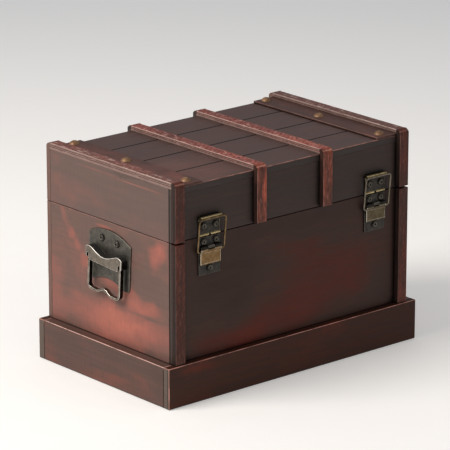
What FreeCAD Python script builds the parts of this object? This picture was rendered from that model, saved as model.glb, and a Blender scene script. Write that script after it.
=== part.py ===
import FreeCAD, Part
import math
import os

# A small wooden chest: a box on a plinth, with a hinged lid of V-jointed boards, raised corner
# rims and two straps, two wire toggle latches in front and a drop handle on each end.
# Frame: origin at the bottom centre, +X along the length, -Y is the front, +Z is up.

# Overall sizes, millimetres
plinth_length = 220.0
plinth_depth = 137.2
plinth_height = 28.0
body_height = 109.8
lid_height = 36.1
lid_gap = 0.4

# Board thicknesses
plinth_end_board = 7.4
plinth_long_board = 5.7
long_panel = 2.4
end_panel = 6.0
bottom_panel = 5.0
slat_thickness = 4.5
edge_ease = 0.4
plinth_ease = 0.7

# Lid boards: the two middle ones have this width, the outer two take what is left
middle_slat = 33.5
slat_bevel = 0.45
slat_bevel_depth = 1.8

# Corner rims and straps, with two quirk lines along each side but for the plain legs on the back
strip_thickness = 4.2
rim_width = 8.2
strap_width = 8.3
strap_offset = 29.0
strip_round = 0.7
strip_corner = 4.0
strip_end_gap = {"front": 0.5, "back": 0.0}
strap_rise = 3.5
quirk_levels = {"top": (0.36, 0.62), "front": (0.36, 0.62), "back": ()}
quirk_width = 0.4
quirk_depth = 0.35

# Thin strips beside the end rims, with their dome nails
nail_strip_width = 17.6
nail_strip_thickness = 1.5
nail_radius = 3.7
nail_height = 2.3
nail_shank_radius = 0.8
nail_shank = 4.0
nail_front_inset = 5.9
nail_back_inset = 4.9
nail_middle = 3.5
nail_shift = {"left": 0.0, "right": -1.2}

# Screws
screw_head = 2.4
screw_head_height = 1.3
screw_crown = 0.9
screw_shank_radius = 1.1
screw_shank = 3.0
screw_slot_length = 2.4
screw_slot_width = 0.6
screw_slot_depth = 0.8
screw_pit_radius = 0.9
hole_clearance = 0.05

# Toggle latches, heights given from the top edge of the body, places from the ends of the box
latch_inset = {"left": 31.1, "right": 28.1}
latch_plate = 0.9
latch_base_width = 18.0
latch_base_length = 25.4
latch_screw_spacing = 10.4
latch_base_screw_drop = 3.2
latch_low_screw_drop = 21.6
catch_inset = 0.2
catch_screw_rise = 7.2
catch_lip_rise = 12.7
catch_lip_radius = 1.35
catch_lip_reach = 1.3
catch_lip_neck = 0.95
catch_foot_radius = 0.75
catch_foot_gap = 1.6
lever_inset = 0.55
lever_bead = 1.05
lever_web = 0.85
lever_plate = 1.0
lever_tip_bead = 0.6
lever_gap = 0.3
base_knuckle = 5.4
loop_pivot_step = 2.6
loop_wire = 0.65
loop_outset = 2.2
loop_corner = 2.2
loop_foot_corner = 1.4
loop_pin_grip = 3.0
loop_lip_gap = 0.3
latch_pin_radius = 0.5
running_clearance = 0.05

# Hinges on the back
hinge_width = 22.0
hinge_leaf_height = 13.0
hinge_leaf = 1.0
hinge_web = 0.9
hinge_knuckle_radius = 1.4
hinge_pin_radius = 0.65
hinge_lid_knuckle = 7.2
hinge_knuckle_gap = 0.3
hinge_axis_stand_off = 0.1
hinge_screw_spacing = 13.0
hinge_screw_drop = 8.0

# Drop handles on the ends, heights given from the axis of the ring
handle_plate = 0.9
handle_half_width = 21.5
handle_pivot_drop = 25.6
handle_pivot_out = 3.6
handle_plate_low = -16.8
handle_plate_shoulder = 14.6
handle_plate_top = 20.0
handle_plate_arch = 3.8
handle_plate_corner = 3.0
handle_plate_lobe = 6.5
handle_screw_spacing = 15.6
handle_screw_rise = 13.4
handle_cover_inset = 2.8
handle_cover_depth = 5.4
handle_cover_low = -2.8
handle_cover_low_inset = 4.7
handle_cover_end_low = -0.6
handle_cover_end_top = 5.4
handle_cover_peak = 6.8
handle_cover_peak_inset = 2.3
handle_cover_dip = 2.7
handle_cover_ease = 0.4
handle_cover_pocket = 1.1
handle_cover_wall = 1.0
handle_rod = 1.0
handle_eye = 1.6
ring_inset = 1.9
ring_bottom = -23.4
ring_thickness = 1.3
ring_depth = 3.0
ring_corner = 3.6
ring_bump_half = 6.5
ring_bump = 3.4
ring_bump_round = 3.6
ring_notch_gap = 0.3
handle_tilt = {"left": 3.5, "right": 0.0}

# How far a cutting tool runs past a face, and the closeness that counts as lying on a plane
overshoot = 1.0
on_plane = 1e-6

# Places that follow from the sizes above
V = FreeCAD.Vector
X = V(1, 0, 0)
Y = V(0, 1, 0)
Z = V(0, 0, 1)
end_face = plinth_length / 2 - plinth_end_board
long_face = plinth_depth / 2 - plinth_long_board
lid_bottom = body_height + lid_gap
lid_top = lid_bottom + lid_height
rim_top = lid_top + strip_thickness
strap_top = lid_top + strap_rise
slat_bottom = lid_top - slat_thickness
rim_centre = end_face - rim_width / 2
latch_face = -long_face - latch_plate
latch_places = {"left": -end_face + latch_inset["left"], "right": end_face - latch_inset["right"]}
lever_half = latch_base_width / 2 - lever_inset
lever_pivot_z = body_height - latch_base_screw_drop - screw_head - lever_gap - lever_bead
lever_tip_z = body_height - latch_low_screw_drop + screw_head + lever_gap + lever_tip_bead
hinge_offset = (strap_offset + strap_width / 2 + end_face - rim_width) / 2
handle_pivot_height = body_height - handle_pivot_drop
handle_cover_half = handle_half_width - handle_cover_inset
ring_half_width = handle_cover_half - ring_inset
hinge_axis_y = long_face + strip_thickness + hinge_axis_stand_off
hinge_axis_z = body_height + lid_gap / 2
sides = {"left": -1, "right": 1}
faces = {"front": -1, "back": 1}
nodes = {}


def box(x0, x1, y0, y1, z0, z1):
    return Part.makeBox(abs(x1 - x0), abs(y1 - y0), abs(z1 - z0), V(min(x0, x1), min(y0, y1), min(z0, z1)))


def board(x0, x1, y0, y1, z0, z1, ease):
    plain = box(x0, x1, y0, y1, z0, z1)
    return plain.makeFillet(ease, plain.Edges)


def eased_below(shape, height):
    """Eases the edges that start under the height, and leaves the edges of the top face sharp."""
    lower = [edge for edge in shape.Edges if edge.BoundBox.ZMin < height - edge_ease]
    return shape.makeFillet(edge_ease, lower)


def rod(start, direction, radius, length):
    return Part.makeCylinder(radius, length, start, direction)


def rod_along_x(x0, x1, y, z, radius):
    return rod(V(min(x0, x1), y, z), X, radius, abs(x1 - x0))


def chain(points):
    return [Part.LineSegment(a, b).toShape() for a, b in zip(points, points[1:])]


def arc(start, middle, end):
    return Part.Arc(start, middle, end).toShape()


def prism(edges, direction):
    return Part.Face(Part.Wire(edges)).extrude(direction)


def rounded_path(points, radii):
    """Straight runs through the points, with a tangent arc of the given radius at each inner point."""
    edges = []
    start = points[0]
    for before, corner, after, radius in zip(points, points[1:], points[2:], radii):
        back = (before - corner).normalize()
        ahead = (after - corner).normalize()
        half_turn = (math.pi - back.getAngle(ahead)) / 2
        reach = radius * math.tan(half_turn)
        inward = (back + ahead).normalize()
        middle = corner + inward * (radius / math.cos(half_turn) - radius)
        edges.append(Part.LineSegment(start, corner + back * reach).toShape())
        edges.append(arc(corner + back * reach, middle, corner + ahead * reach))
        start = corner + ahead * reach
    edges.append(Part.LineSegment(start, points[-1]).toShape())
    return Part.Wire(edges)


def joined(shapes):
    return shapes[0].multiFuse(shapes[1:]).removeSplitter()


def screw_places_on_latch_base(x):
    upper = body_height - latch_base_screw_drop
    lower = body_height - latch_low_screw_drop
    half = latch_screw_spacing / 2
    return [V(x - half, latch_face, upper), V(x + half, latch_face, upper), V(x, latch_face, lower)]


def screw_places_on_catch(x):
    height = body_height + catch_screw_rise
    half = latch_screw_spacing / 2
    return [V(x - half, latch_face, height), V(x + half, latch_face, height)]


def screw_places_on_leaf(x, z):
    half = hinge_screw_spacing / 2
    return [V(x - half, long_face + hinge_leaf, z), V(x + half, long_face + hinge_leaf, z)]


def tilted(shape, side):
    """Turns a handle piece in the plane of its end, as it is mounted."""
    return shape.rotated(V(0, 0, handle_pivot_height), X, handle_tilt[side])


def screw_places_on_handle(side):
    x = sides[side] * (end_face + handle_plate)
    half = handle_screw_spacing / 2
    level = [V(x, y, handle_pivot_height + handle_screw_rise) for y in (-half, half)]
    return [tilted(Part.Vertex(place), side).Point for place in level]


def screw(seat, outward):
    head = Part.makeCylinder(screw_head, screw_head_height)
    crown = [edge for edge in head.Edges if edge.BoundBox.ZMin > screw_head_height / 2]
    head = head.makeFillet(screw_crown, crown)
    slot_floor = screw_head_height - screw_slot_depth
    head = head.cut(rod(V(0, 0, slot_floor), Z, screw_pit_radius, screw_slot_depth))
    for turn in (0, 90):
        slot = Part.makeBox(screw_slot_length, screw_slot_width, screw_slot_depth)
        slot.translate(V(-screw_slot_length / 2, -screw_slot_width / 2, slot_floor))
        slot.rotate(V(), Z, turn + 45)
        head = head.cut(slot)
    shank = rod(V(0, 0, -screw_shank), Z, screw_shank_radius, screw_shank)
    whole = joined([head, shank])
    whole.Placement = FreeCAD.Placement(seat, FreeCAD.Rotation(Z, outward))
    return whole


def drilled(shape, seats, outward):
    for seat in seats:
        depth = screw_shank + hole_clearance
        shape = shape.cut(rod(seat, outward * -1, screw_shank_radius + hole_clearance, depth))
    return shape


def strip(origin, across, outward, along, width, top, levels):
    """A rim or strap: rounded outer edges, and quirk lines along each side at these shares of its rise."""
    half = width / 2
    bend = strip_round * (1 - math.sqrt(0.5))
    flank = [(half, 0)]
    for low in (level * top for level in levels):
        flank += [(half, low), (half - quirk_depth, low + quirk_width / 2), (half, low + quirk_width)]
    flank.append((half, top - strip_round))

    def at(u, v):
        return origin + across * u + outward * v

    right = [at(u, v) for u, v in flank]
    left = [at(-u, v) for u, v in reversed(flank)]
    edges = chain([left[-1]] + right)
    edges.append(arc(right[-1], at(half - bend, top - bend), at(half - strip_round, top)))
    edges += chain([at(half - strip_round, top), at(-half + strip_round, top)])
    edges.append(arc(at(-half + strip_round, top), at(-half + bend, top - bend), left[0]))
    edges += chain(left)
    return prism(edges, along)


def rounded_over(leg, x, width, facing, height, up, radius):
    """Rounds the outer edge of a rim's or strap's leg, at its top (up is 1) or its foot (up is -1)."""
    outer = facing * (long_face + strip_thickness)
    axis_y = outer - facing * radius
    axis_z = height - up * radius
    corner = box(x - width, x + width, axis_y, outer + facing * overshoot, axis_z, height + up * overshoot)
    return leg.cut(corner.cut(rod_along_x(x - width, x + width, axis_y, axis_z, radius)))


def lid_leg(x, face_name, width, head):
    """The part of a lid rim or strap that runs down the front or back."""
    facing = faces[face_name]
    foot = lid_bottom + strip_end_gap[face_name]
    leg = strip(V(x, facing * long_face, foot), X, Y * facing, Z * (head - foot), width, strip_thickness,
                quirk_levels[face_name])
    leg = rounded_over(leg, x, width, facing, head, 1, strip_corner)
    return rounded_over(leg, x, width, facing, foot, -1, strip_round)


def body_leg(x, face_name):
    """A corner rim of the box, standing on the plinth."""
    facing = faces[face_name]
    head = body_height - strip_end_gap[face_name]
    foot = V(x, facing * long_face, plinth_height)
    leg = strip(foot, X, Y * facing, Z * (head - plinth_height), rim_width, strip_thickness,
                quirk_levels[face_name])
    return rounded_over(leg, x, rim_width, facing, head, 1, strip_round)


def make_plinth():
    half = plinth_length / 2
    for name, facing in faces.items():
        nodes["plinth_%s_board" % name] = board(-half, half, facing * long_face, facing * plinth_depth / 2,
                                                0, plinth_height, plinth_ease)
    for name, side in sides.items():
        nodes["plinth_%s_board" % name] = board(side * end_face, side * half, -long_face, long_face,
                                                0, plinth_height, plinth_ease)


def make_body():
    inner_end = end_face - end_panel
    inner_long = long_face - long_panel
    nodes["bottom_panel"] = board(-inner_end, inner_end, -inner_long, inner_long, 0, bottom_panel, edge_ease)
    front = board(-end_face, end_face, -long_face, -inner_long, 0, body_height, edge_ease)
    back = board(-inner_end, inner_end, inner_long, long_face, 0, body_height, edge_ease)
    for x in latch_places.values():
        front = drilled(front, screw_places_on_latch_base(x), Y * -1)
    for side in sides.values():
        back = drilled(back, screw_places_on_leaf(side * hinge_offset, body_height - hinge_screw_drop), Y)
    nodes["front_panel"] = front
    nodes["back_panel"] = back
    for name, side in sides.items():
        panel = board(side * inner_end, side * end_face, -inner_long, long_face, 0, body_height, edge_ease)
        nodes["%s_end_panel" % name] = drilled(panel, screw_places_on_handle(name), X * side)
    for face_name in faces:
        for side_name, side in sides.items():
            nodes["body_rim_%s_%s" % (face_name, side_name)] = body_leg(side * rim_centre, face_name)


def nail_points(name, side):
    x = side * (end_face - rim_width - nail_strip_width / 2) + nail_shift[name]
    rows = (-long_face + nail_front_inset, nail_middle, long_face - nail_back_inset)
    return [V(x, y, lid_top + nail_strip_thickness) for y in rows]


def nail_drilled(shape):
    for name, side in sides.items():
        for point in nail_points(name, side):
            hole = rod(point, Z * -1, nail_shank_radius + hole_clearance, nail_shank + hole_clearance)
            shape = shape.cut(hole)
    return shape


def dome_nail(point):
    ball = (nail_radius ** 2 + nail_height ** 2) / (2 * nail_height)
    sphere = Part.makeSphere(ball, V(0, 0, nail_height - ball))
    cap = sphere.common(Part.makeCylinder(nail_radius * 2, nail_height))
    shank = rod(V(0, 0, -nail_shank), Z, nail_shank_radius, nail_shank)
    nail = joined([cap, shank])
    nail.translate(point)
    return nail


def slat(y0, y1, low_edge, high_edge):
    """A lid board between the ends, each top edge bevelled by a (width, depth): steep at a joint."""
    end = end_face - end_panel
    low_width, low_depth = low_edge
    high_width, high_depth = high_edge
    edges = chain([V(-end, y0, slat_bottom), V(-end, y1, slat_bottom), V(-end, y1, lid_top - high_depth),
                   V(-end, y1 - high_width, lid_top), V(-end, y0 + low_width, lid_top),
                   V(-end, y0, lid_top - low_depth), V(-end, y0, slat_bottom)])
    return prism(edges, X * (2 * end))


def make_lid():
    inner_end = end_face - end_panel
    inner_long = long_face - long_panel
    front_block = box(-end_face, end_face, -long_face, -inner_long, lid_bottom, slat_bottom)
    back_block = box(-inner_end, inner_end, inner_long, long_face, lid_bottom, slat_bottom)
    ears = [box(side * inner_end, side * end_face, -long_face, -inner_long, slat_bottom, lid_top)
            for side in sides.values()]
    front = joined([eased_below(front_block, slat_bottom)] + ears)
    back = eased_below(back_block, slat_bottom)
    for x in latch_places.values():
        front = drilled(front, screw_places_on_catch(x), Y * -1)
    for side in sides.values():
        back = drilled(back, screw_places_on_leaf(side * hinge_offset, lid_bottom + hinge_screw_drop), Y)
    nodes["lid_front_rail"] = front
    nodes["lid_back_rail"] = back
    for name, side in sides.items():
        block = box(side * inner_end, side * end_face, -inner_long, long_face, lid_bottom, lid_top)
        nodes["lid_%s_end" % name] = eased_below(block, lid_top)
    joints = [-long_face, -middle_slat, 0, middle_slat, long_face]
    outside = (edge_ease, edge_ease)
    bevels = [outside] + [(slat_bevel, slat_bevel_depth)] * 3 + [outside]
    for number in range(4):
        plank = slat(joints[number], joints[number + 1], bevels[number], bevels[number + 1])
        nodes["lid_slat_%d" % (number + 1)] = nail_drilled(plank)
    nails = []
    run = Y * (2 * long_face)
    for name, side in sides.items():
        outer = side * (end_face - rim_width)
        thin = board(outer - side * nail_strip_width, outer, -long_face, long_face,
                     lid_top, lid_top + nail_strip_thickness, edge_ease)
        nodes["lid_nail_strip_%s" % name] = nail_drilled(thin)
        nails += [dome_nail(point) for point in nail_points(name, side)]
        top_from = V(side * rim_centre, -long_face, lid_top)
        nodes["lid_rim_%s_top" % name] = strip(top_from, X, Z, run, rim_width, strip_thickness,
                                                quirk_levels["top"])
        strap_from = V(side * strap_offset, -long_face, lid_top)
        nodes["strap_%s_top" % name] = strip(strap_from, X, Z, run, strap_width, strap_rise, quirk_levels["top"])
        for face_name in faces:
            nodes["lid_rim_%s_%s" % (name, face_name)] = lid_leg(side * rim_centre, face_name, rim_width, rim_top)
            nodes["strap_%s_%s" % (name, face_name)] = lid_leg(side * strap_offset, face_name, strap_width,
                                                               strap_top)
    nodes["dome_nails"] = Part.makeCompound(nails)


def make_latch(name, x):
    """Base plate and lever on the body, wire loop on the lever, catch on the lid."""
    pivot_y = latch_face - lever_gap - lever_bead
    loop_z = lever_pivot_z - loop_pivot_step
    half = latch_base_width / 2
    base_top = body_height - lid_gap
    base = box(x - half, x + half, latch_face, -long_face, base_top - latch_base_length, base_top)
    base = drilled(base, screw_places_on_latch_base(x), Y * -1)
    knuckle_half = base_knuckle / 2
    web_top = lever_pivot_z + lever_bead
    web = box(x - knuckle_half, x + knuckle_half, pivot_y, latch_face, lever_pivot_z, web_top)
    knuckle = rod_along_x(x - knuckle_half, x + knuckle_half, pivot_y, lever_pivot_z, lever_bead)
    pin_bore = rod_along_x(x - half, x + half, pivot_y, lever_pivot_z, latch_pin_radius + running_clearance)
    nodes["latch_base_%s" % name] = joined([base, web, knuckle]).cut(pin_bore)

    flap_back = pivot_y + lever_bead
    tip_y = flap_back - lever_tip_bead
    pieces = [rod_along_x(x - lever_half, x + lever_half, pivot_y, loop_z, lever_bead),
              box(x - lever_half, x + lever_half, flap_back - lever_plate, flap_back, lever_tip_z, loop_z),
              rod_along_x(x - lever_half, x + lever_half, tip_y, lever_tip_z, lever_tip_bead)]
    for side in sides.values():
        inner = x + side * (knuckle_half + lever_gap)
        outer = x + side * lever_half
        pieces.append(rod_along_x(inner, outer, pivot_y, lever_pivot_z, lever_bead))
        pieces.append(box(inner, outer, pivot_y - lever_web, pivot_y + lever_web, loop_z, lever_pivot_z))
    lever = joined(pieces).cut(pin_bore)
    for side in sides.values():
        outer = x + side * lever_half
        grip = outer - side * (loop_pin_grip + running_clearance)
        lever = lever.cut(rod_along_x(grip, outer, pivot_y, loop_z, loop_wire + running_clearance))
    nodes["latch_lever_%s" % name] = lever
    pin = rod_along_x(x - lever_half, x + lever_half, pivot_y, lever_pivot_z, latch_pin_radius)

    lip_z = body_height + catch_lip_rise
    lip_y = latch_face - catch_lip_reach
    bar_y = lip_y - catch_lip_radius - loop_lip_gap - loop_wire
    inner = lever_half - loop_pin_grip
    reach = half + loop_outset
    route = [V(x - inner, pivot_y, loop_z), V(x - reach, pivot_y, loop_z), V(x - reach, bar_y, lip_z),
             V(x + reach, bar_y, lip_z), V(x + reach, pivot_y, loop_z), V(x + inner, pivot_y, loop_z)]
    path = rounded_path(route, [loop_foot_corner, loop_corner, loop_corner, loop_foot_corner])
    section = Part.Wire(Part.makeCircle(loop_wire, route[0], X))
    nodes["latch_loop_%s" % name] = path.makePipeShell([section], True, False)

    catch_half = half - catch_inset
    foot = lid_bottom + catch_foot_radius
    catch = box(x - catch_half, x + catch_half, latch_face, -long_face, foot, lip_z)
    catch = drilled(catch, screw_places_on_catch(x), Y * -1)
    pieces = [catch, rod_along_x(x - catch_half, x + catch_half, lip_y, lip_z, catch_lip_radius),
              box(x - catch_half, x + catch_half, lip_y, -long_face, lip_z, lip_z + catch_lip_neck)]
    for side in sides.values():
        lip_from = x + side * catch_foot_gap / 2
        pieces.append(rod_along_x(lip_from, x + side * catch_half, latch_face, foot, catch_foot_radius))
    nodes["latch_catch_%s" % name] = joined(pieces)
    return pin


def make_hinge(name, x):
    """Two cranked leaves on the back, turning on a pin level with the joint of body and lid."""
    half = hinge_width / 2
    lid_half = hinge_lid_knuckle / 2
    radius = hinge_knuckle_radius
    bore = rod_along_x(x - half, x + half, hinge_axis_y, hinge_axis_z, hinge_pin_radius + running_clearance)
    low = body_height - lid_gap - hinge_leaf_height
    leaf = box(x - half, x + half, long_face, long_face + hinge_leaf, low, hinge_axis_z - radius + hinge_web)
    leaf = drilled(leaf, screw_places_on_leaf(x, body_height - hinge_screw_drop), Y)
    pieces = [leaf]
    for side in sides.values():
        inner = x + side * (lid_half + hinge_knuckle_gap)
        pieces.append(rod_along_x(inner, x + side * half, hinge_axis_y, hinge_axis_z, radius))
        pieces.append(box(inner, x + side * half, long_face, hinge_axis_y,
                          hinge_axis_z - radius, hinge_axis_z - radius + hinge_web))
    nodes["hinge_body_leaf_%s" % name] = joined(pieces).cut(bore)
    high = lid_bottom + lid_gap + hinge_leaf_height
    leaf = box(x - half, x + half, long_face, long_face + hinge_leaf, hinge_axis_z + radius - hinge_web, high)
    leaf = drilled(leaf, screw_places_on_leaf(x, lid_bottom + hinge_screw_drop), Y)
    pieces = [leaf, rod_along_x(x - lid_half, x + lid_half, hinge_axis_y, hinge_axis_z, radius),
              box(x - lid_half, x + lid_half, long_face, hinge_axis_y,
                  hinge_axis_z + radius - hinge_web, hinge_axis_z + radius)]
    nodes["hinge_lid_leaf_%s" % name] = joined(pieces).cut(bore)
    return rod_along_x(x - half, x + half, hinge_axis_y, hinge_axis_z, hinge_pin_radius)


def make_handle(name, side):
    """Arched plate, cover bar with a bore for the ring's rod, and the drop ring."""
    def at(out, y, rise):
        return V(side * (end_face + out), y, handle_pivot_height + rise)

    def block(out0, out1, y0, y1, rise0, rise1):
        return box(side * (end_face + out0), side * (end_face + out1), y0, y1,
                   handle_pivot_height + rise0, handle_pivot_height + rise1)

    half = handle_half_width
    low = handle_plate_low
    corner = handle_plate_corner
    bend = corner * (1 - math.sqrt(0.5))
    lobe = half - handle_plate_lobe
    edges = chain([at(0, half - corner, low), at(0, lobe, low)])
    edges.append(arc(at(0, lobe, low), at(0, 0, low + handle_plate_arch), at(0, -lobe, low)))
    edges += chain([at(0, -lobe, low), at(0, -half + corner, low)])
    edges.append(arc(at(0, -half + corner, low), at(0, -half + bend, low + bend), at(0, -half, low + corner)))
    edges += chain([at(0, -half, low + corner), at(0, -half, handle_plate_shoulder)])
    edges.append(arc(at(0, -half, handle_plate_shoulder), at(0, 0, handle_plate_top),
                     at(0, half, handle_plate_shoulder)))
    edges += chain([at(0, half, handle_plate_shoulder), at(0, half, low + corner)])
    edges.append(arc(at(0, half, low + corner), at(0, half - bend, low + bend), at(0, half - corner, low)))
    plate = tilted(prism(edges, X * (side * handle_plate)), name)
    nodes["handle_plate_%s" % name] = drilled(plate, screw_places_on_handle(name), X * side)

    front = handle_plate + handle_cover_depth
    peak = handle_cover_half - handle_cover_peak_inset
    low_half = handle_cover_half - handle_cover_low_inset
    middle = (handle_cover_peak + handle_cover_dip) / 2
    crest = [(-handle_cover_half, handle_cover_end_top), (-peak, handle_cover_peak), (-peak / 2, middle),
             (0, handle_cover_dip), (peak / 2, middle), (peak, handle_cover_peak),
             (handle_cover_half, handle_cover_end_top)]
    wave = Part.BSplineCurve()
    wave.interpolate([at(handle_plate, y, z) for y, z in crest])
    edges = [wave.toShape()]
    edges += chain([at(handle_plate, y, z) for y, z in (
        crest[-1], (handle_cover_half, handle_cover_end_low), (low_half, handle_cover_low),
        (-low_half, handle_cover_low), (-handle_cover_half, handle_cover_end_low), crest[0])])
    cover = prism(edges, X * (side * handle_cover_depth))
    front_edges = [edge for edge in cover.Edges
                   if max(abs(v.X - side * (end_face + front)) for v in edge.Vertexes) < on_plane]
    cover = cover.makeFillet(handle_cover_ease, front_edges)
    arm_out = ring_half_width + ring_notch_gap
    arm_in = ring_half_width - ring_thickness - ring_notch_gap
    roof = handle_eye + ring_notch_gap
    wall = handle_cover_wall
    pocket_from = handle_cover_half - handle_cover_pocket
    pocket_to = handle_cover_half + overshoot
    for way in (-1, 1):
        cover = cover.cut(block(handle_plate, front + overshoot, way * arm_in, way * arm_out,
                                handle_cover_low - overshoot, roof))
        cover = cover.cut(block(handle_plate + wall, front - wall, way * pocket_from, way * pocket_to,
                                handle_cover_end_low + wall, handle_cover_end_top - wall))
    bore = rod(at(handle_pivot_out, -arm_in, 0), Y, handle_rod + running_clearance, 2 * arm_in)
    nodes["handle_cover_%s" % name] = tilted(cover.cut(bore), name)

    arm = ring_half_width - ring_thickness / 2
    base = ring_bottom + ring_thickness / 2
    route = [at(handle_pivot_out, y, z) for y, z in (
        (-arm, 0), (-arm, base), (-ring_bump_half, base), (0, base + ring_bump), (ring_bump_half, base),
        (arm, base), (arm, 0))]
    path = rounded_path(route, [ring_corner, ring_bump_round, ring_bump_round, ring_bump_round, ring_corner])
    depth = ring_depth / 2
    thick = ring_thickness / 2
    section = Part.makePolygon([at(handle_pivot_out + out, -arm + y, 0) for out, y in (
        (-depth, -thick), (depth, -thick), (depth, thick), (-depth, thick), (-depth, -thick))])
    hoop = path.makePipeShell([section], True, False)
    pieces = [hoop, rod(at(handle_pivot_out, -arm, 0), Y, handle_rod, 2 * arm)]
    for start in (-ring_half_width, ring_half_width - ring_thickness):
        pieces.append(rod(at(handle_pivot_out, start, 0), Y, handle_eye, ring_thickness))
    nodes["handle_ring_%s" % name] = tilted(joined(pieces), name)


def make_hardware():
    latch_pins = [make_latch(name, x) for name, x in latch_places.items()]
    hinge_pins = [make_hinge(name, side * hinge_offset) for name, side in sides.items()]
    nodes["latch_pins"] = Part.makeCompound(latch_pins)
    nodes["hinge_pins"] = Part.makeCompound(hinge_pins)
    body_screws = []
    lid_screws = []
    handle_screws = []
    for x in latch_places.values():
        body_screws += [screw(seat, Y * -1) for seat in screw_places_on_latch_base(x)]
        lid_screws += [screw(seat, Y * -1) for seat in screw_places_on_catch(x)]
    for name, side in sides.items():
        x = side * hinge_offset
        body_screws += [screw(seat, Y) for seat in screw_places_on_leaf(x, body_height - hinge_screw_drop)]
        lid_screws += [screw(seat, Y) for seat in screw_places_on_leaf(x, lid_bottom + hinge_screw_drop)]
        make_handle(name, side)
        handle_screws += [screw(seat, X * side) for seat in screw_places_on_handle(name)]
    nodes["body_screws"] = Part.makeCompound(body_screws)
    nodes["lid_screws"] = Part.makeCompound(lid_screws)
    nodes["handle_screws"] = Part.makeCompound(handle_screws)


make_plinth()
make_body()
make_lid()
make_hardware()
os.makedirs("parts", exist_ok=True)
for name, shape in nodes.items():
    shape.exportStep("parts/%s.step" % name)
print("nodes", len(nodes))
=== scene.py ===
import math

import bpy
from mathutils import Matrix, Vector

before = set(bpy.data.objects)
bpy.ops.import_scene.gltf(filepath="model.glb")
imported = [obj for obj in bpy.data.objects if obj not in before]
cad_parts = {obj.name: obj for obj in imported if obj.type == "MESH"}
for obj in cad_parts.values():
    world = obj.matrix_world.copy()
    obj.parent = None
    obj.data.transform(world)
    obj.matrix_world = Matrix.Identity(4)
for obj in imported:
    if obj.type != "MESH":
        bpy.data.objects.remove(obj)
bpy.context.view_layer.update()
scene = bpy.context.scene
scene.view_settings.view_transform = "Standard"

MM_PER_M = 1000.0

# Camera: fitted to the box's edges, angles in degrees and places in metres
CAMERA_AZIMUTH = -40.69
CAMERA_ELEVATION = 17.17
CAMERA_DISTANCE = 2.247
CAMERA_TARGET = Vector((-0.00561, -0.002585, 0.08914))
CAMERA_LENS = 267.3
CAMERA_CLIP_END = 50

# Settings that many shader nodes share, and the sockets of a colour mix
SMOOTH = {"interpolation_type": "SMOOTHSTEP"}
LAYER = {"data_type": "RGBA", "clamp_factor": True}
FACTOR, UNDER, OVER, LAID = 0, 6, 7, 2
# Rays that each nook or rounded edge is found with
SHADING_SAMPLES = 8

# Wood grain: how a pattern is drawn out along each axis, and the slant of saw marks on narrow strips
ALONG = {"X": (0.07, 1, 1), "Y": (1, 0.07, 1), "Z": (1, 1, 0.07)}
SLANT = {"X": (0.8, 0, -0.6), "Y": (-0.6, 0.8, 0), "Z": (-0.6, 0, 0.8)}
FACE_AXES = {"X": 0, "Y": 1, "Z": 2}

# Sizes in the wood's finish, in millimetres. The drift of the rubbing cloth seldom takes up its reach: it
# wanders by some 5 mm. Brush marks are drawn coarser than real ones, to show.
DRIFT_WIDTH = 25
DRIFT_REACH = 24.0
BRUSH_MARK = 0.8
STREAK_WIDTH = 3
SMOKE_WIDTH = 26
FLECK_WIDTH = 1.4
WORN_STRETCH = 9
JOINT_NOOK = 1.6
HALO_REACH = 6.0
WOOD_RELIEF = 0.2
# The wave pattern's period is 0.63, so this scale sets saw marks about 4 mm apart along a strip
SAW_MARK_SCALE = 0.2
# How little the smoky figure and the flecks are drawn out along the grain, where 1 is not at all: they come
# out three and four times as long as wide
SMOKE_UNDRAWN = 0.3
FLECK_UNDRAWN = 0.2
# How far smoke swings the red at a figure of 1, and the wear left between worn stretches
SMOKE_SWING = 2.2
LEAST_WEAR = 0.35

# Sizes in the metal's finish, in millimetres
TARNISH_WIDTH = 3
GRIT_WIDTH = 0.4
METAL_NOOK = 1.2
METAL_RELIEF = 0.05
# How far patches of tarnish swing the share of metal that shows
MOTTLE = 0.3

# Near-blacks: joint glaze, and painted shade in nooks and round fittings; tarnish in metal's hollows; painted
# shadow by the handle
JOINT_AND_SHADE_BLACK = "#0C0807"
HOLLOW_BLACK = "#0B0908"
PAINTED_SHADOW_BLACK = "#0F0D0B"

# A film of lacquer
LACQUER_IOR = 1.48

# Share of a soft patch's radii that has its full weight
PATCH_CORE = 0.2

# Eased faces: a board's small roundings, and only the middle of a strip's, which leaves out its quirk lines.
# They are the largest share that a face's normal has along an axis, where wear starts and where it is full.
BOARD_EDGE = (0.97, 0.85)
STRIP_EDGE = (0.85, 0.74)
# How far a half turned face looks along its axis, and how far either side of that it may be
HALF_TURNED = 0.65
HALF_TURNED_SPREAD = 0.3
# Where a tone for the faces along an axis starts and is full
LOOKS_ALONG = (0.5, 0.85)
# How alike the true and the rounded normal are, where the wear beside an edge starts and is full
EDGE_BEND = (0.985, 0.87)


def hex_linear(code):
    """An sRGB hex colour as the linear colour that a shader socket takes."""
    parts = [int(code[i:i + 2], 16) / 255 for i in (1, 3, 5)]
    return [p / 12.92 if p <= 0.04045 else ((p + 0.055) / 1.055) ** 2.4 for p in parts] + [1.0]


def add(tree, kind, sockets, **settings):
    """Adds one shader node; a socket is given its value, or the output that feeds it."""
    node = tree.nodes.new("ShaderNode" + kind)
    for key, value in settings.items():
        setattr(node, key, value)
    for key, value in sockets.items():
        if isinstance(value, bpy.types.NodeSocket):
            tree.links.new(value, node.inputs[key])
        else:
            node.inputs[key].default_value = value
    return node


def new_material(name):
    """An empty node material, and its tree."""
    material = bpy.data.materials.new(name)
    material.use_nodes = True
    tree = material.node_tree
    tree.nodes.clear()
    return material, tree


def toward(azimuth, elevation):
    """The direction that an azimuth and elevation in degrees point to, azimuth 0 being the front."""
    a, e = math.radians(azimuth), math.radians(elevation)
    return Vector((math.sin(a) * math.cos(e), -math.cos(a) * math.cos(e), math.sin(e)))


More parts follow.
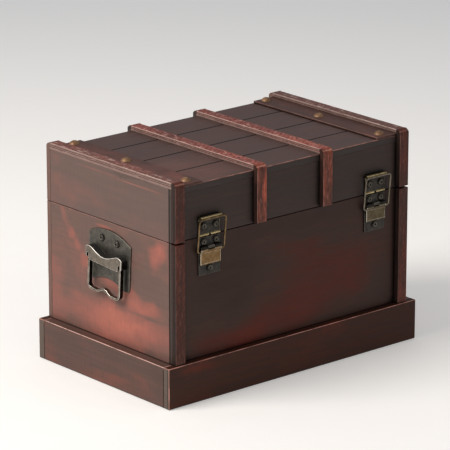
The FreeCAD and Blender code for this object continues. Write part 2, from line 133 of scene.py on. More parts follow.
def patches(tree, place, spots):
    """Soft patches added up, each a (centre, radii, weight) in millimetres on the object."""
    total = None
    for centre, radii, weight in spots:
        away = add(tree, "VectorMath", {0: place, 1: centre}, operation="SUBTRACT").outputs[0]
        away = add(tree, "VectorMath", {0: away, 1: radii}, operation="DIVIDE").outputs[0]
        away = add(tree, "VectorMath", {0: away}, operation="LENGTH").outputs["Value"]
        patch = add(tree, "MapRange", {"Value": away, "From Min": PATCH_CORE, "From Max": 1.0,
                                       "To Min": weight, "To Max": 0.0}, **SMOOTH).outputs[0]
        total = add(tree, "Math", {0: total, 1: patch}, operation="ADD").outputs[0] if total else patch
    return total


def edge_wear(tree, normal, eased, width):
    """Where an edge is rubbed: its eased faces, turned off the main planes, and a width beside it.

    With an axis for eased, only faces half turned from that axis count. Gives that mask, and the
    normal of an edge rounded by the width."""
    mask, rounded = None, add(tree, "NewGeometry", {}).outputs["Normal"]
    if eased in FACE_AXES:
        turned = add(tree, "SeparateXYZ", {0: normal}).outputs[FACE_AXES[eased]]
        turned = add(tree, "Math", {0: turned}, operation="ABSOLUTE").outputs[0]
        mask = add(tree, "Math", {0: turned, 1: HALF_TURNED, 2: HALF_TURNED_SPREAD},
                   operation="COMPARE").outputs[0]
    elif eased:
        square = add(tree, "VectorMath", {0: normal}, operation="ABSOLUTE").outputs[0]
        square = add(tree, "SeparateXYZ", {0: square}).outputs
        widest = add(tree, "Math", {0: square[0], 1: square[1]}, operation="MAXIMUM").outputs[0]
        widest = add(tree, "Math", {0: widest, 1: square[2]}, operation="MAXIMUM").outputs[0]
        mask = add(tree, "MapRange", {"Value": widest, "From Min": eased[0], "From Max": eased[1]},
                   **SMOOTH).outputs[0]
    if width:
        true = rounded
        rounded = add(tree, "Bevel", {"Radius": width / MM_PER_M}, samples=SHADING_SAMPLES).outputs["Normal"]
        bend = add(tree, "VectorMath", {0: true, 1: rounded}, operation="DOT_PRODUCT").outputs["Value"]
        beside = add(tree, "MapRange", {"Value": bend, "From Min": EDGE_BEND[0], "From Max": EDGE_BEND[1]},
                     **SMOOTH).outputs[0]
        mask = add(tree, "Math", {0: mask, 1: beside}, operation="MAXIMUM").outputs[0] if mask else beside
    return mask, rounded


def facing(tree, normal, axis, share):
    """A mask of the faces that look along an axis, either way, up to a share."""
    turned = add(tree, "SeparateXYZ", {0: normal}).outputs[FACE_AXES[axis]]
    turned = add(tree, "Math", {0: turned}, operation="ABSOLUTE").outputs[0]
    return add(tree, "MapRange", {"Value": turned, "From Min": LOOKS_ALONG[0], "From Max": LOOKS_ALONG[1],
                                  "To Max": share}, **SMOOTH).outputs[0]


def toned_faces(tree, normal, colour, flank):
    """Lays another tone on the faces that look along an axis, each an (axis, colour, share)."""
    for axis, code, share in flank:
        mask = facing(tree, normal, axis, share)
        colour = add(tree, "Mix", {FACTOR: mask, UNDER: colour, OVER: hex_linear(code)},
                     **LAYER).outputs[LAID]
    return colour


def seen_directly(tree):
    """1 for what the camera sees, also mirrored or through glass, and 0 for the light that falls on things."""
    ray = add(tree, "LightPath", {}).outputs
    seen = add(tree, "Math", {0: ray["Is Camera Ray"], 1: ray["Is Glossy Ray"]}, operation="MAXIMUM").outputs[0]
    return add(tree, "Math", {0: seen, 1: ray["Is Transmission Ray"]}, operation="MAXIMUM").outputs[0]


def stained_board(name, grain, glaze, stain, rub, glow, worn, level=0.0, figure=0.5, streak=0.3,
                  contrast=(0.0, 1.0), brush=None, rubbed=(), glazed=(), lines=(), seams=(), bare=(),
                  wear=1.0, eased=BOARD_EDGE, wear_width=0.7, flank=(), flecks=(0.0, 0.0), chevrons=0.0,
                  brushed=0.4, nooks=0.92, halo=(), gloss=0.3):
    """Stained board under a brushed dark glaze, rubbed back to red in soft patches, bare on its worn edges.

    The five colours run from the thick glaze to the bare edge. level, figure and streak say how red the
    board is, how smoky and how streaky, and contrast how far its streaks go from glaze to stain. rubbed,
    glazed and lines are patches with less or more glaze, seams are patches of black in the joints, halo
    is patches where a near-black painted shadow lies close round what is fixed on, and bare is
    where the edges are worn, over a wear_width in millimetres. flank gives faces that look along an axis
    another tone. grain and brush are the axes of the grain and the brush marks. wear, flecks, chevrons,
    brushed and gloss are strengths, and nooks the strength of the near-black in nooks, glaze and painted shade."""
    material, tree = new_material(name)
    texture = add(tree, "TexCoord", {})
    place = add(tree, "VectorMath", {0: texture.outputs["Object"], "Scale": MM_PER_M},
                operation="SCALE").outputs[0]
    # The cloth that rubbed the glaze wandered
    drift = add(tree, "TexNoise", {"Vector": place, "Scale": 1 / DRIFT_WIDTH, "Detail": 3.0}).outputs["Color"]
    drift = add(tree, "VectorMath", {0: drift, 1: (0.5, 0.5, 0.5)}, operation="SUBTRACT").outputs[0]
    drift = add(tree, "VectorMath", {0: drift, "Scale": DRIFT_REACH}, operation="SCALE").outputs[0]
    rubbing = add(tree, "VectorMath", {0: place, 1: drift}, operation="ADD").outputs[0]
    fibre = add(tree, "VectorMath", {0: place, 1: ALONG[grain]}, operation="MULTIPLY").outputs[0]
    stroke = add(tree, "VectorMath", {0: place, 1: ALONG[brush or grain]}, operation="MULTIPLY").outputs[0]
    drawn = [SMOKE_UNDRAWN + (1 - SMOKE_UNDRAWN) * share for share in ALONG[grain]]
    smoky = add(tree, "VectorMath", {0: rubbing, 1: drawn}, operation="MULTIPLY").outputs[0]
    # Brush marks, streaks of the grain and a smoky figure
    bristle = add(tree, "TexNoise", {"Vector": stroke, "Scale": 1 / BRUSH_MARK, "Detail": 3.0,
                                     "Roughness": 0.7}).outputs[0]
    streaks = add(tree, "TexNoise", {"Vector": fibre, "Scale": 1 / STREAK_WIDTH, "Detail": 4.0,
                                     "Roughness": 0.6, "Distortion": 0.4}).outputs[0]
    smoke = add(tree, "TexNoise", {"Vector": smoky, "Scale": 1 / SMOKE_WIDTH, "Detail": 6.0,
                                   "Roughness": 0.55, "Distortion": 0.4}).outputs[0]
    mask = add(tree, "MapRange", {"Value": streaks, "From Min": 0.2, "From Max": 0.8,
                                  "To Min": contrast[0], "To Max": contrast[1]}, **SMOOTH).outputs[0]
    colour = add(tree, "Mix", {FACTOR: mask, UNDER: hex_linear(glaze), OVER: hex_linear(stain)},
                 **LAYER).outputs[LAID]
    # How far the glaze is rubbed off: below 0 it is thick, at 1 the red shows fully
    red = add(tree, "Math", {0: smoke, 1: SMOKE_SWING * figure, 2: level - SMOKE_SWING * figure / 2},
              operation="MULTIPLY_ADD").outputs[0]
    broken = add(tree, "Math", {0: streaks, 1: streak, 2: -0.5 * streak}, operation="MULTIPLY_ADD").outputs[0]
    red = add(tree, "Math", {0: red, 1: broken}, operation="ADD").outputs[0]
    if rubbed:
        red = add(tree, "Math", {0: red, 1: patches(tree, rubbing, rubbed)}, operation="ADD").outputs[0]
    if glazed:
        red = add(tree, "Math", {0: red, 1: patches(tree, rubbing, glazed)}, operation="SUBTRACT").outputs[0]
    if lines:
        red = add(tree, "Math", {0: red, 1: patches(tree, place, lines)}, operation="ADD").outputs[0]
    for low, high, code in ((0.0, 0.7, rub), (0.5, 1.1, glow), (0.0, -0.7, glaze)):
        mask = add(tree, "MapRange", {"Value": red, "From Min": low, "From Max": high}, **SMOOTH).outputs[0]
        colour = add(tree, "Mix", {FACTOR: mask, UNDER: colour, OVER: hex_linear(code)},
                     **LAYER).outputs[LAID]
    if chevrons:
        # Dark saw marks across a narrow strip
        marks = add(tree, "VectorMath", {0: place, 1: SLANT[grain]}, operation="MULTIPLY").outputs[0]
        marks = add(tree, "TexWave", {"Vector": marks, "Scale": SAW_MARK_SCALE, "Distortion": 3.5,
                                      "Detail": 2.0, "Detail Scale": 2.0},
                    wave_type="BANDS", bands_direction="DIAGONAL").outputs["Fac"]
        mask = add(tree, "MapRange", {"Value": marks, "From Min": 0.6, "From Max": 0.95, "To Max": chevrons},
                   **SMOOTH).outputs[0]
        colour = add(tree, "Mix", {FACTOR: mask, UNDER: colour, OVER: hex_linear(glaze)},
                     **LAYER).outputs[LAID]
    if any(flecks):
        # Dark and bare flecks
        grains = [FLECK_UNDRAWN + (1 - FLECK_UNDRAWN) * share for share in ALONG[grain]]
        grains = add(tree, "VectorMath", {0: place, 1: grains}, operation="MULTIPLY").outputs[0]
        grains = add(tree, "TexNoise", {"Vector": grains, "Scale": 1 / FLECK_WIDTH, "Detail": 2.0}).outputs[0]
        for low, high, share, code in ((0.48, 0.34, flecks[0], glaze), (0.55, 0.7, flecks[1], worn)):
            mask = add(tree, "MapRange", {"Value": grains, "From Min": low, "From Max": high, "To Max": share},
                       **SMOOTH).outputs[0]
            colour = add(tree, "Mix", {FACTOR: mask, UNDER: colour, OVER: hex_linear(code)},
                         **LAYER).outputs[LAID]
    colour = toned_faces(tree, texture.outputs["Normal"], colour, flank)
    mask = add(tree, "MapRange", {"Value": bristle, "From Min": 0.46, "From Max": 0.72, "To Max": brushed},
               **SMOOTH).outputs[0]
    colour = add(tree, "Mix", {FACTOR: mask, UNDER: colour, OVER: hex_linear(glaze)}, **LAYER).outputs[LAID]
    # Edges worn bare in stretches
    stretches = add(tree, "TexNoise", {"Vector": place, "Scale": 1 / WORN_STRETCH, "Detail": 4.0,
                                       "Roughness": 0.7}).outputs[0]
    mask = add(tree, "MapRange", {"Value": stretches, "From Min": 0.34, "From Max": 0.6,
                                  "To Min": LEAST_WEAR * wear, "To Max": wear}, **SMOOTH).outputs[0]
    edge, rounded = edge_wear(tree, texture.outputs["Normal"], eased, wear_width)
    mask = add(tree, "Math", {0: mask, 1: edge}, operation="MULTIPLY").outputs[0]
    if bare:
        mask = add(tree, "Math", {0: mask, 1: patches(tree, place, bare)}, operation="MULTIPLY").outputs[0]
    colour = add(tree, "Mix", {FACTOR: mask, UNDER: colour, OVER: hex_linear(worn)}, **LAYER).outputs[LAID]
    # Near-black: glaze along the open joints; in nooks, glaze and painted shade; and painted shadow in a halo
    # round what is fixed on
    nook = add(tree, "AmbientOcclusion", {"Distance": JOINT_NOOK / MM_PER_M},
               samples=SHADING_SAMPLES).outputs["AO"]
    dark = [add(tree, "MapRange", {"Value": nook, "From Min": 0.85, "From Max": 0.5, "To Max": nooks},
                **SMOOTH).outputs[0]]
    if seams:
        dark.append(patches(tree, place, seams))
    # Painted shadow: near-black close round fittings, wherever ambient occlusion finds something near inside
    # the halo patches
    if halo:
        nook = add(tree, "AmbientOcclusion", {"Distance": HALO_REACH / MM_PER_M},
                   samples=SHADING_SAMPLES).outputs["AO"]
        near = add(tree, "MapRange", {"Value": nook, "From Min": 0.97, "From Max": 0.55}, **SMOOTH).outputs[0]
        round_fittings = patches(tree, place, halo)
        dark.append(add(tree, "Math", {0: near, 1: round_fittings}, operation="MULTIPLY").outputs[0])
    for mask in dark:
        colour = add(tree, "Mix", {FACTOR: mask, UNDER: colour, OVER: hex_linear(JOINT_AND_SHADE_BLACK)},
                     **LAYER).outputs[LAID]
    # Satin lacquer, duller where the grain is open
    satin = add(tree, "MapRange", {"Value": streaks, "From Min": 0.3, "From Max": 0.7,
                                   "To Min": 0.42, "To Max": 0.58}, **SMOOTH).outputs[0]
    height = add(tree, "Math", {0: bristle, 1: streaks}, operation="ADD").outputs[0]
    relief = add(tree, "Bump", {"Strength": 0.3, "Distance": WOOD_RELIEF / MM_PER_M, "Height": height,
                                "Normal": rounded}).outputs[0]
    shader = add(tree, "BsdfPrincipled", {"Base Color": colour, "Roughness": satin, "Normal": relief,
                                          "IOR": LACQUER_IOR, "Specular IOR Level": gloss}).outputs[0]
    add(tree, "OutputMaterial", {"Surface": shader})
    return material


def aged_metal(name, tarnish, metal, bright, worn=0.4, edge_width=0.5, rough=(0.34, 0.5), metallic=1.0,
               eased=BOARD_EDGE, beyond=None, flank=(), painted_shadow=(), grimy=None):
    """Plated steel: dark tarnish in the hollows, metal showing in patches, bright on rubbed edges.

    worn is the share of metal that shows, edge_width the width of a bright edge in millimetres, and rough the
    range of the roughness. beyond is (axis, from, to, tarnish, metal): past that place in millimetres the
    piece has other tones, and no bright edges. flank gives faces that look along an axis another tone, stained
    is patches of near-black painted shadow, and faces along the grimy axis hold a dull grime."""
    material, tree = new_material(name)
    texture = add(tree, "TexCoord", {})
    place = add(tree, "VectorMath", {0: texture.outputs["Object"], "Scale": MM_PER_M},
                operation="SCALE").outputs[0]
    # Tarnish in patches, with a fine grit
    clouds = add(tree, "TexNoise", {"Vector": place, "Scale": 1 / TARNISH_WIDTH, "Detail": 4.0,
                                    "Roughness": 0.65}).outputs[0]
    grit = add(tree, "TexNoise", {"Vector": place, "Scale": 1 / GRIT_WIDTH, "Detail": 2.0}).outputs[0]
    shown = add(tree, "MapRange", {"Value": clouds, "From Min": 0.34, "From Max": 0.66,
                                   "To Min": worn - MOTTLE, "To Max": worn + MOTTLE}, **SMOOTH).outputs[0]
    colour = add(tree, "Mix", {FACTOR: shown, UNDER: hex_linear(tarnish), OVER: hex_linear(metal)},
                 **LAYER).outputs[LAID]
    colour = toned_faces(tree, texture.outputs["Normal"], colour, flank)
    mask = add(tree, "MapRange", {"Value": clouds, "From Min": 0.3, "From Max": 0.6,
                                  "To Min": 0.7, "To Max": 1.0}, **SMOOTH).outputs[0]
    edge, rounded = edge_wear(tree, texture.outputs["Normal"], eased, edge_width)
    mask = add(tree, "Math", {0: mask, 1: edge}, operation="MULTIPLY").outputs[0]
    colour = add(tree, "Mix", {FACTOR: mask, UNDER: colour, OVER: hex_linear(bright)}, **LAYER).outputs[LAID]
    if beyond:
        axis, start, end, far_tarnish, far_metal = beyond
        far = add(tree, "Mix", {FACTOR: shown, UNDER: hex_linear(far_tarnish), OVER: hex_linear(far_metal)},
                  **LAYER).outputs[LAID]
        along = add(tree, "SeparateXYZ", {0: place}).outputs[FACE_AXES[axis]]
        mask = add(tree, "MapRange", {"Value": along, "From Min": start, "From Max": end}, **SMOOTH).outputs[0]
        colour = add(tree, "Mix", {FACTOR: mask, UNDER: colour, OVER: far}, **LAYER).outputs[LAID]
    # Near-black painted shadow in the patches given
    if painted_shadow:
        mask = patches(tree, place, painted_shadow)
        colour = add(tree, "Mix", {FACTOR: mask, UNDER: colour, OVER: hex_linear(PAINTED_SHADOW_BLACK)},
                     **LAYER).outputs[LAID]
    nook = add(tree, "AmbientOcclusion", {"Distance": METAL_NOOK / MM_PER_M},
               samples=SHADING_SAMPLES).outputs["AO"]
    mask = add(tree, "MapRange", {"Value": nook, "From Min": 0.75, "From Max": 0.35, "To Max": 0.85},
               **SMOOTH).outputs[0]
    colour = add(tree, "Mix", {FACTOR: mask, UNDER: colour, OVER: hex_linear(HOLLOW_BLACK)},
                 **LAYER).outputs[LAID]
    low, high = rough
    dull = add(tree, "MapRange", {"Value": grit, "From Min": 0.3, "From Max": 0.7,
                                  "To Min": low, "To Max": high}, **SMOOTH).outputs[0]
    if grimy:
        grime = facing(tree, texture.outputs["Normal"], grimy, 1.0)
        dull = add(tree, "Math", {0: dull, 1: grime}, operation="MAXIMUM").outputs[0]
        metallic = add(tree, "MapRange", {"Value": grime, "To Min": metallic, "To Max": 0.0}).outputs[0]
    relief = add(tree, "Bump", {"Strength": 0.15, "Distance": METAL_RELIEF / MM_PER_M, "Height": grit,
                                "Normal": rounded}).outputs[0]
    shader = add(tree, "BsdfPrincipled", {"Base Color": colour, "Roughness": dull, "Normal": relief,
                                          "Metallic": metallic}).outputs[0]
    add(tree, "OutputMaterial", {"Surface": shader})
    return material


# Stained pine. Every board has the same mahogany stain and a dark glaze brushed over it, so the eye sees smoky
# brown with soft salmon-red patches, near-black joints and bare pink edges. Places are millimetres on the
# object. A radius of hundreds of millimetres carries a patch through to the far side.
FRONT_SEAM = ((-103, -60.7, 75), (600, 1.1, 400), 0.95)
TOP_EDGES = ((0, 0, 29), (400, 400, 4), 1.2)
SLAT_SEAMS = [((0, y, 147), (400, 1.2, 60), 0.95) for y in (-33.5, 0, 33.5)]

# Box end: pale brown, rubbed to a broad salmon band low down and a few smears beside the handle
end_board = stained_board(
    "stained_pine_end_board", "Y", "#5E4841", "#735C54", "#985E53", "#BA6E5D", "#C8988C",
    level=0.12, figure=0.5, brush="Z", contrast=(0.3, 0.85), brushed=0.28,
    rubbed=[((-103, 50, 103), (600, 7, 8), 0.4), ((-103, 43, 96), (600, 7, 8), 0.4),
            ((-103, 36, 89), (600, 6, 7), 0.3), ((-103, -47, 97), (600, 12, 13), 0.6),
            ((-103, -35, 61), (600, 30, 10), 0.55), ((-103, -10, 41), (600, 85, 20), 0.7),
            ((-103, 2, 66), (600, 18, 7), 0.4), ((-103, 28, 78), (600, 8, 9), 0.3),
            ((-103, 60, 50), (600, 20, 40), 0.3)],
    glazed=[((-103, -42, 79), (600, 24, 8), 0.3), ((-103, -25, 103), (600, 13, 9), 0.3),
            ((-103, 52, 66), (600, 18, 12), 0.2)],
    lines=[((-103, 6, 105.5), (600, 14, 2), 0.5), ((-103, -35, 53.5), (600, 26, 2), -0.25)],
    seams=[FRONT_SEAM], bare=[((0, 0, 110), (400, 400, 4), 0.9)])
# Lid end: the same brown, hardly rubbed, with fine red lines under the rim
lid_end_board = stained_board(
    "stained_pine_lid_end", "Y", "#5C4A44", "#725D56", "#875B52", "#A06C60", "#C8A49A",
    level=0.05, figure=0.7, brush="Z", contrast=(0.3, 0.8), brushed=0.3,
    rubbed=[((-103, 45, 125), (600, 22, 16), 0.12), ((-103, 58, 130), (600, 12, 26), 0.15),
            ((-103, 8, 120), (600, 16, 12), 0.2)],
    glazed=[((-103, -20, 143.8), (600, 34, 2.4), 0.7)],
    lines=[((-103, -30, 141.2), (600, 38, 0.9), 0.9), ((-103, 12, 142.4), (600, 34, 0.8), 0.6)],
    seams=[FRONT_SEAM], wear=0.0)
# Box front: deep brown, red in the lower right, with near-black painted shadow round the latches and beside the
# rims
front_board = stained_board(
    "stained_pine_front_board", "X", "#3B2923", "#4B352D", "#58241A", "#6E2A1C", "#8A5A4E",
    level=-0.1, figure=0.4, wear=0.0, flank=[("X", "#4A3E38", 0.85)], seams=[FRONT_SEAM], gloss=0.2,
    rubbed=[((35, -63, 62), (90, 600, 40), 0.55), ((-55, -63, 36), (55, 600, 17), 0.55),
            ((-15, -63, 42), (60, 600, 24), 0.45), ((0, -63, 88), (40, 600, 10), 0.25)],
    glazed=[((-55, -63, 80), (42, 600, 32), 0.5), ((0, -63, 106), (130, 600, 12), 0.4),
            ((84, -63, 44), (15, 600, 18), 0.4)],
    halo=[((-71.5, -63, 104), (24, 600, 34), 0.9), ((74.5, -63, 104), (24, 600, 34), 0.9),
          ((-94, -63, 70), (9, 600, 200), 0.95), ((94, -63, 70), (9, 600, 200), 0.95)])
# Lid front: greyer brown, with near-black painted shadow beside every strip and latch
lid_front_board = stained_board(
    "stained_pine_lid_front", "X", "#372C29", "#4B3B35", "#54332C", "#6C3C32", "#8A5A4E",
    level=-0.1, figure=0.5, wear=0.0, flank=[("X", "#4A3E38", 0.85)], seams=[FRONT_SEAM], gloss=0.25,
    halo=[((0, -63, 128), (600, 600, 600), 0.95)])
# Lid boards: plum brown with black V joints, redder at the near end
lid_slat_board = stained_board(
    "stained_pine_lid_slat", "X", "#45332F", "#5A4542", "#684842", "#7C564C", "#C08A7C",
    level=0.0, figure=0.5, flank=[("Y", "#352B28", 0.95)], seams=SLAT_SEAMS, gloss=0.35,
    rubbed=[((-75, -40, 147), (60, 60, 40), 0.5)], bare=[((0, -63, 147), (400, 3, 3), 0.9)])
# Long plinth boards: dark red-brown, pink along the top edge and the near corner, grey end grain
plinth_long_board = stained_board(
    "stained_pine_plinth_long", "X", "#351B12", "#48271B", "#62291A", "#7A3826", "#D89C8E",
    level=0.05, figure=0.7, wear_width=1.1, flank=[("X", "#6A5F57", 0.85)], gloss=0.2,
    rubbed=[((-90, -69, 24), (24, 60, 8), 0.4)], glazed=[((75, -69, 12), (60, 600, 30), 0.3)],
    bare=[TOP_EDGES, ((-109.4, -68.8, 14), (3, 2.2, 60), 1.6)],
    seams=[((-110, -62.8, 14), (3, 1.2, 60), 0.95), ((-110.3, -67.0, 14), (1, 1.0, 60), 0.6)])
# Short plinth boards: lighter brown with faint red, pink along the top edge
plinth_end_board = stained_board(
    "stained_pine_plinth_end", "Y", "#4A3730", "#664C44", "#844A3E", "#92564A", "#E4B8AE",
    level=0.05, figure=0.55, brush="Z", contrast=(0.2, 0.9), brushed=0.3,
    rubbed=[((-110, 56, 8), (600, 20, 14), 0.2), ((-110, 0, 4), (600, 40, 10), 0.3),
            ((-110, -38, 12), (600, 24, 12), 0.15)],
    glazed=[((-110, 40, 20), (600, 24, 12), 0.2), ((-110, -56, 16), (600, 16, 18), 0.3)], bare=[TOP_EDGES])
# Nail strips: dark red-brown, redder on the left
nail_strip_board = stained_board(
    "stained_pine_nail_strip", "Y", "#402B27", "#523833", "#744840", "#94584C", "#A88074",
    level=0.0, figure=0.5, wear=0.6,
    rubbed=[((-86, 0, 147), (14, 300, 30), 0.3), ((-86, -48, 147), (12, 16, 30), 0.3),
            ((86, 0, 147), (14, 300, 30), 0.2)])
# Strap tops: flecked red, with saw marks and pale pink sides
strap_top_strip = stained_board(
    "red_pine_strap_top", "Y", "#48241F", "#7A433B", "#9C5248", "#BA6654", "#E6C0B4",
    level=0.45, figure=0.7, eased=STRIP_EDGE, wear_width=0, flank=[("X", "#9A827A", 0.85)],
    flecks=(0.7, 0.45), chevrons=0.5, nooks=0.6)
# Strap legs: orange-red with dark streaks along the grain, and near-black painted shade on their sides
strap_leg_strip = stained_board(
    "red_pine_strap_leg", "Z", "#4A2A20", "#764436", "#A04E3C", "#CC664C", "#D09080",
    level=0.3, figure=0.8, streak=0.8, eased=STRIP_EDGE, wear_width=0, flank=[("X", "#2C2521", 0.9)],
    flecks=(0.8, 0.3),
    rubbed=[((-26.5, -67, 132), (4, 60, 26), 0.6), ((31.5, -67, 132), (4, 60, 26), 0.1)],
    glazed=[((-32, -67, 120), (3, 60, 24), 0.2), ((27, -67, 120), (5, 60, 30), 0.35)])
# Rim tops: dusty red with pale worn lines along the sides
rim_top_strip = stained_board(
    "red_pine_rim_top", "Y", "#583A34", "#765048", "#92594E", "#AA6A5C", "#ECD6CE",
    level=0.1, figure=0.6, eased=STRIP_EDGE, wear_width=0, flank=[("X", "#8E766E", 0.85)],
    flecks=(0.7, 0.4), chevrons=0.5, nooks=0.6, rubbed=[((-98, 0, 150), (12, 300, 30), 0.3)],
    bare=[((0, 0, 149), (900, 900, 900), 0.7), ((-102, -42, 149), (600, 36, 30), 0.8)])
# Rim legs: dark red with saw marks; at the front their sides carry near-black painted shade, at the back they
# are brown
RIM_LEG_STAIN = ("Z", "#381A10", "#5E2C20", "#7E3828", "#9C4C38", "#B88476")
RIM_LEG_WEAR = {"level": 0.2, "figure": 0.7, "streak": 0.8, "eased": STRIP_EDGE, "wear": 0.5,
                "wear_width": 0, "flecks": (0.6, 0.15), "chevrons": 0.45}
rim_leg_strip = stained_board(
    "red_pine_rim_leg", *RIM_LEG_STAIN, flank=[("X", "#26201D", 0.9)], **RIM_LEG_WEAR)
rim_back_strip = stained_board(
    "red_pine_rim_back_leg", *RIM_LEG_STAIN, flank=[("X", "#745A51", 0.95)], **RIM_LEG_WEAR)

# Antique bronze plate on steel: grey-brown with paler rubbed edges, near-black in the hollows
# The handle plate: near-black painted shadow in a strip beside the ring's leg and in a band higher up the plate
bronze_handle_plate = aged_metal(
    "antique_bronze_handle_plate", "#403E3A", "#6A665D", "#9C968A", worn=0.45, metallic=0.7,
    rough=(0.45, 0.6),
    painted_shadow=[((-103, -17.5, 76), (600, 3.2, 14), 0.9), ((-103, -4, 90.5), (600, 26, 4), 0.5)])
bronze_latch_plate = aged_metal(
    "antique_bronze_latch_plate", "#2C2A28", "#4C4843", "#857E70", worn=0.4, metallic=0.7, rough=(0.42, 0.58))
bronze_screw = aged_metal("antique_bronze_screw", "#302E2B", "#5E5A52", "#A8A294", worn=0.45, eased=None)
# The dome nails are browner and softer
bronze_nail = aged_metal(
    "antique_bronze_nail", "#6A4A34", "#A88462", "#C8AC8A", worn=0.5, rough=(0.42, 0.56), metallic=0.5,
    eased=None)
# Brass showing through: the catch on its rolled lip and foot, the lever below its barrel, the wire all along
LEVER_BARREL = ("Z", 101.3, 101.7, "#1E1C1A", "#34312D")
brass_catch = aged_metal(
    "rubbed_brass_catch", "#2C2A28", "#4C4843", "#CDBB92", worn=0.4, eased=None,
    beyond=("Y", -64.0, -64.4, "#9E8A60", "#E0CEA2"))
brass_lever = aged_metal(
    "rubbed_brass_lever", "#6A5236", "#8E7350", "#FFF2D6", worn=0.5, edge_width=0.9, eased=None,
    beyond=LEVER_BARREL)
brass_wire = aged_metal("rubbed_brass_wire", "#54442F", "#8E7656", "#BCA480", worn=0.55, eased=None)
# On the right latch the brass has gone dull and grey
dull_lever = aged_metal(
    "dull_brass_lever", "#4C4232", "#6C604C", "#E6DECC", worn=0.5, edge_width=0.9, eased=None,
    beyond=LEVER_BARREL)
dull_wire = aged_metal("dull_brass_wire", "#544B3E", "#8A8070", "#C4BAA6", worn=0.55, eased=None)
# Pewter-toned casting: dull warm grey, almost white on the edges that hands rub, a white that also stands in
# for their highlight; black on top; near-black painted shade at its open ends, where the hollow inside would
# show
pewter_cover = aged_metal(
    "pewter_toned_cover", "#544B40", "#80766A", "#FFFAF2", worn=0.5, edge_width=0.4, eased="X",
    rough=(0.26, 0.4), metallic=0.6, flank=[("Z", "#100E0C", 0.97), ("Y", "#15120F", 0.95)], grimy="Z",
    painted_shadow=[((x, -18.7, 84), (3.2, 2.6, 7), 1.6) for x in (-105.4, 105.4)])
# The ring is the same, with near-black painted shade on its sides and at its eyes under the cover
pewter_ring = aged_metal(
    "pewter_toned_ring", "#443F37", "#8C8272", "#F4ECE2", worn=0.5, edge_width=0.6, eased=None,
    rough=(0.28, 0.42), flank=[("Y", "#1A1714", 0.9)], beyond=("Z", 81.0, 82.2, "#15120F", "#24201B"))

# The finish of each node, by the longest of these that its name starts with
finish_of = {
    "plinth_front": plinth_long_board,
    "plinth_back": plinth_long_board,
    "plinth_left": plinth_end_board,
    "plinth_right": plinth_end_board,
    "bottom_panel": plinth_long_board,
    "front_panel": front_board,
    "back_panel": front_board,
    "left_end_panel": end_board,
    "right_end_panel": end_board,
    "body_rim": rim_leg_strip,
    "body_rim_back": rim_back_strip,
    "lid_front_rail": lid_front_board,
    "lid_back_rail": lid_front_board,
    "lid_left_end": lid_end_board,
    "lid_right_end": lid_end_board,
    "lid_slat": lid_slat_board,
    "lid_nail_strip": nail_strip_board,
    "lid_rim": rim_leg_strip,
    "lid_rim_left_top": rim_top_strip,
    "lid_rim_right_top": rim_top_strip,
    "lid_rim_left_back": rim_back_strip,
    "lid_rim_right_back": rim_back_strip,
    "strap": strap_leg_strip,
    "strap_left_top": strap_top_strip,
    "strap_right_top": strap_top_strip,
    "dome_nails": bronze_nail,
    "latch_base": bronze_latch_plate,
    "latch_catch": brass_catch,
    "latch_lever": brass_lever,
    "latch_lever_right": dull_lever,
    "latch_loop": brass_wire,
    "latch_loop_right": dull_wire,
    "latch_pins": bronze_screw,
    "hinge": bronze_latch_plate,
    "handle_plate": bronze_handle_plate,
    "handle_cover": pewter_cover,
    "handle_ring": pewter_ring,
    "body_screws": bronze_screw,
    "lid_screws": bronze_screw,
    "handle_screws": bronze_screw,
}
for name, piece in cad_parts.items():
    start = max((key for key in finish_of if name.startswith(key)), key=len)
    piece.data.materials.clear()
    piece.data.materials.append(finish_of[start])

# Floor: matt painted board, white near the box and greyer further off, lifted a little to the camera
FLOOR_REACH = 6.0
FLOOR_DROP = 0.0002
FLOOR_LIFT = 0.3
# Distance in metres where the white starts to fade and where it is grey
FLOOR_FADE = (0.25, 1.3)
# Roller marks 16 mm wide
ROLLER_MARKS_PER_M = 60.0
floor_material, tree = new_material("white_painted_floor")
texture = add(tree, "TexCoord", {})
distance = add(tree, "VectorMath", {0: texture.outputs["Object"]}, operation="LENGTH").outputs["Value"]
mask = add(tree, "MapRange", {"Value": distance, "From Min": FLOOR_FADE[0], "From Max": FLOOR_FADE[1]},
           **SMOOTH).outputs[0]
pale = add(tree, "Mix", {FACTOR: mask, UNDER: hex_linear("#F2F1EF"), OVER: hex_linear("#D2D4D6")},
           **LAYER).outputs[LAID]
roller = add(tree, "TexNoise", {"Vector": texture.outputs["Object"], "Scale": ROLLER_MARKS_PER_M,
                                "Detail": 3.0}).outputs[0]
mask = add(tree, "MapRange", {"Value": roller, "From Min": 0.3, "From Max": 0.7, "To Max": 0.04},
           **SMOOTH).outputs[0]
pale = add(tree, "Mix", {FACTOR: mask, UNDER: pale, OVER: hex_linear("#D8D6D4")}, **LAYER).outputs[LAID]
board = add(tree, "BsdfPrincipled", {"Base Color": pale, "Roughness": 0.7}).outputs[0]
lift = add(tree, "Math", {0: seen_directly(tree), 1: FLOOR_LIFT}, operation="MULTIPLY").outputs[0]
glow = add(tree, "Emission", {"Color": pale, "Strength": lift}).outputs[0]
whole = add(tree, "AddShader", {0: board, 1: glow}).outputs[0]
add(tree, "OutputMaterial", {"Surface": whole})
floor_mesh = bpy.data.meshes.new("floor")
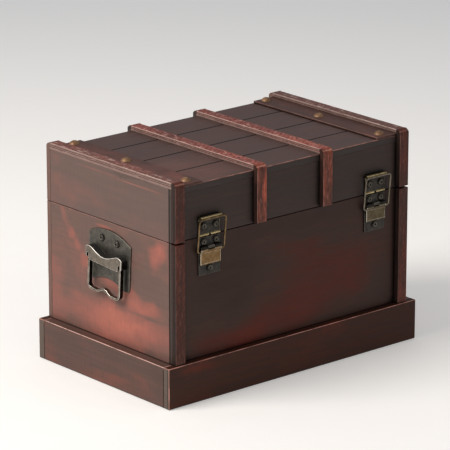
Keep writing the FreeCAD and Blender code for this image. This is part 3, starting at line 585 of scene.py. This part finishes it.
corners = [(x * FLOOR_REACH, y * FLOOR_REACH, 0) for x, y in ((-1, -1), (1, -1), (1, 1), (-1, 1))]
floor_mesh.from_pydata(corners, [], [(0, 1, 2, 3)])
floor_mesh.materials.append(floor_material)
floor = bpy.data.objects.new("floor", floor_mesh)
floor.location.z = -FLOOR_DROP
scene.collection.objects.link(floor)

# World: soft grey light, shown as a slightly cooler grey to the camera and in reflections
world = bpy.data.worlds.new("studio")
scene.world = world
world.use_nodes = True
tree = world.node_tree
tree.nodes.clear()
lighting = add(tree, "Background", {"Color": hex_linear("#F6F5F6"), "Strength": 0.34}).outputs[0]
shown = add(tree, "Background", {"Color": hex_linear("#E4E6E8"), "Strength": 0.4}).outputs[0]
mixed = add(tree, "MixShader", {0: seen_directly(tree), 1: lighting, 2: shown}).outputs[0]
add(tree, "OutputWorld", {"Surface": mixed})

# Lamps: a large window high on the left, a little behind the front face, and a weak fill from the right.
# Each is a name, azimuth, elevation, distance and width in metres, power in watts and colour.
for name, azimuth, elevation, distance, size, power, colour in (
        ("window_light", -105, 42, 1.7, 0.9, 24.0, "#FFF8F1"),
        ("fill_light", 30, 30, 2.4, 1.2, 4.0, "#FFF4EA")):
    lamp = bpy.data.lights.new(name, "AREA")
    lamp.shape = "SQUARE"
    lamp.size = size
    lamp.energy = power
    lamp.color = hex_linear(colour)[:3]
    holder = bpy.data.objects.new(name, lamp)
    direction = toward(azimuth, elevation)
    holder.location = CAMERA_TARGET + direction * distance
    holder.rotation_euler = direction.to_track_quat("Z", "Y").to_euler()
    scene.collection.objects.link(holder)

camera_data = bpy.data.cameras.new("camera")
camera_data.lens = CAMERA_LENS
camera_data.clip_end = CAMERA_CLIP_END
camera = bpy.data.objects.new("camera", camera_data)
back = toward(CAMERA_AZIMUTH, CAMERA_ELEVATION)
camera.location = CAMERA_TARGET + back * CAMERA_DISTANCE
camera.rotation_euler = back.to_track_quat("Z", "Y").to_euler()
scene.collection.objects.link(camera)
scene.camera = camera
